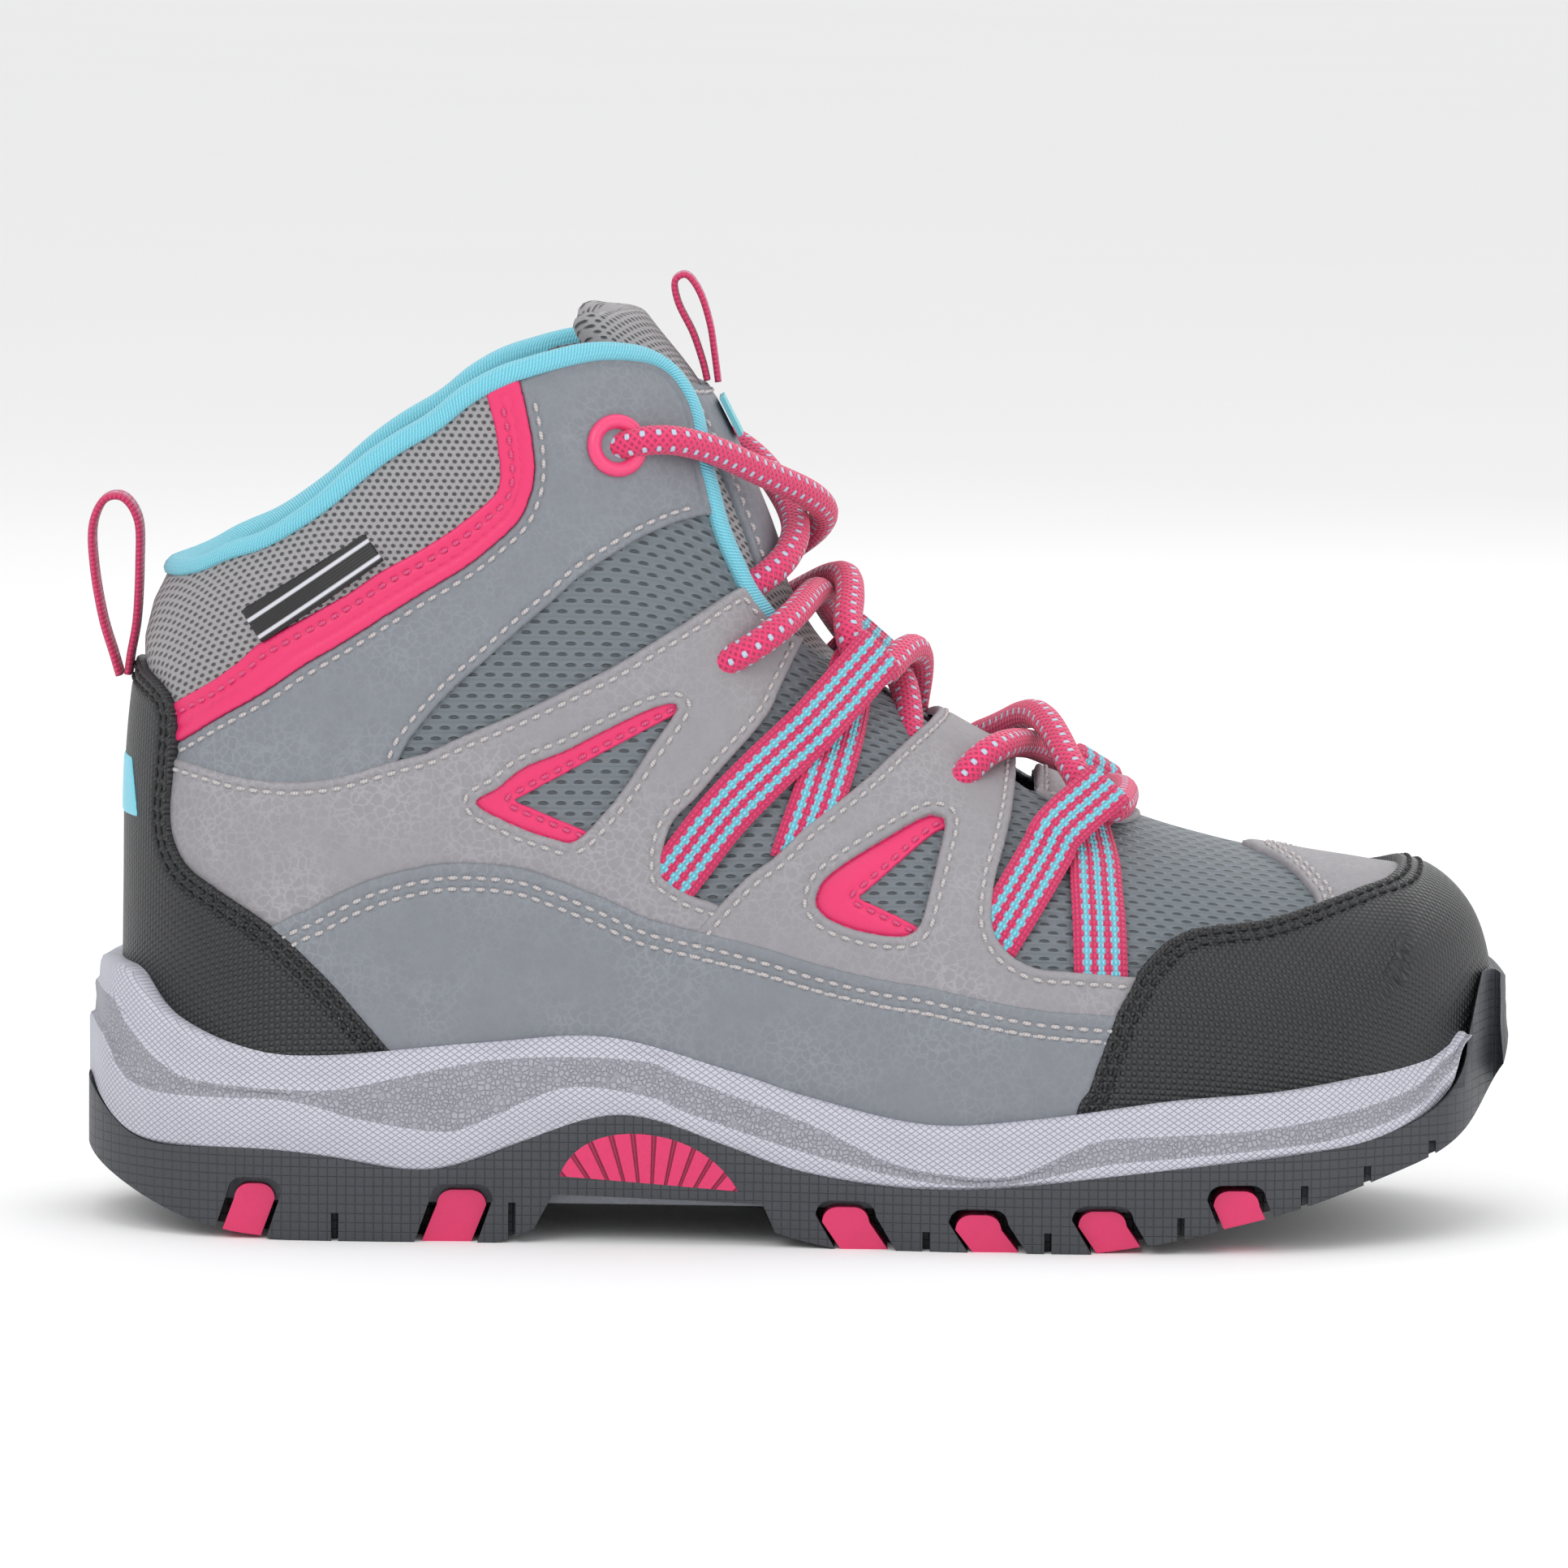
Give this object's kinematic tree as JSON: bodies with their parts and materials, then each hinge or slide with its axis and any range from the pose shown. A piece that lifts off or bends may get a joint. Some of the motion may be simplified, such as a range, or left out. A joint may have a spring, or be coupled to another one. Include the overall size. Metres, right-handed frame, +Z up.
{
  "type": "hiking boot",
  "caption": "Lace-up hiking boot with padded collar, swinging tongue, lift-out footbed, webbing lace loops, pull loops and a lugged cup sole.",
  "frame": {"origin": "middle of the footprint, on the ground the boot stands on", "axes": "+X towards the toe, +Z up, +Y towards the inner (medial) side of the foot"},
  "size_m": [0.2348, 0.0894, 0.1542],
  "materials": {
    "black_weave": "coated ballistic weave",
    "blue_binding": "woven binding tape",
    "blue_grey_leather": "nubuck with fine crackle grain",
    "foam": "open foam",
    "hard_plastic": "smooth",
    "knit_mesh": "open knit over foam",
    "lace_braid": "round braid, grey with pale flecks",
    "lining_knit": "brushed knit",
    "midsole_foam": "moulded foam, diamond and pebble texture",
    "outsole_rubber": "matt rubber, fine square grid on the side walls",
    "pink_plastic": "glossy",
    "pink_rubber": "satin moulded rubber",
    "pink_webbing": "woven tape with pale blue braid stripes",
    "upper_textile": "embossed textile",
    "warm_grey_leather": "nubuck with fine crackle grain"
  },
  "bodies": {
    "boot": {"aglet_inner": "hard_plastic", "aglet_outer": "hard_plastic", "arch_insert": "pink_rubber", "collar_binding_flap": "blue_binding", "collar_binding_rear": "blue_binding", "collar_mesh_inner": "knit_mesh", "collar_mesh_outer": "knit_mesh", "collar_padding": "foam", "collar_trim_inner": "pink_webbing", "collar_trim_outer": "pink_webbing", "eyelet_inner": "pink_plastic", "eyelet_outer": "pink_plastic", "heel_cap": "black_weave", "heel_counter": "hard_plastic", "insole_board": "foam", "lace": "lace_braid", "lining": "lining_knit", "lug_inserts_fore": "pink_rubber", "lug_inserts_heel": "pink_rubber", "midsole": "midsole_foam", "mudguard_inner": "blue_grey_leather", "mudguard_outer": "blue_grey_leather", "outsole": "outsole_rubber", "quarter_mid_inner": "warm_grey_leather", "quarter_mid_outer": "warm_grey_leather", "quarter_upper_inner": "blue_grey_leather", "quarter_upper_outer": "blue_grey_leather", "shank": "hard_plastic", "side_label": "black_weave", "toe_cap": "black_weave", "toe_puff": "hard_plastic", "upper_textile": "upper_textile", "vamp_interlining": "foam", "vamp_top": "warm_grey_leather", "webbing_fore_inner": "pink_webbing", "webbing_fore_outer": "pink_webbing", "webbing_rear_inner": "pink_webbing", "webbing_rear_outer": "pink_webbing", "window_trim_fore_inner": "pink_webbing", "window_trim_fore_outer": "pink_webbing", "window_trim_rear_inner": "pink_webbing", "window_trim_rear_outer": "pink_webbing"},
    "tongue": {"tongue_pad": "knit_mesh", "tongue_face": "warm_grey_leather", "tongue_badge": "blue_binding"},
    "tongue_loop": {"tongue_pull_loop": "pink_webbing"},
    "heel_loop": {"heel_pull_loop": "pink_webbing"},
    "footbed": {"footbed": "lining_knit"}
  },
  "joints": [
    {"name": "tongue_swing", "type": "hinge", "parent": "boot", "child": "tongue", "pos_m": [0.034, 0, 0.068], "axis": [0, 1, 0], "range_deg": [-5, 0]},
    {"name": "tongue_loop_swing", "type": "hinge", "parent": "tongue", "child": "tongue_loop", "pos_m": [-0.0152, 0, 0.1395], "axis": [0, 1, 0], "range_deg": [0, 65]},
    {"name": "heel_loop_swing", "type": "hinge", "parent": "boot", "child": "heel_loop", "pos_m": [-0.1116, 0, 0.0905], "axis": [0, 1, 0], "range_deg": [-75, 0]},
    {"name": "footbed_lift", "type": "hinge", "parent": "boot", "child": "footbed", "pos_m": [0.102, 0, 0.029], "axis": [0, 1, 0], "range_deg": [0, 6]}
  ]
}
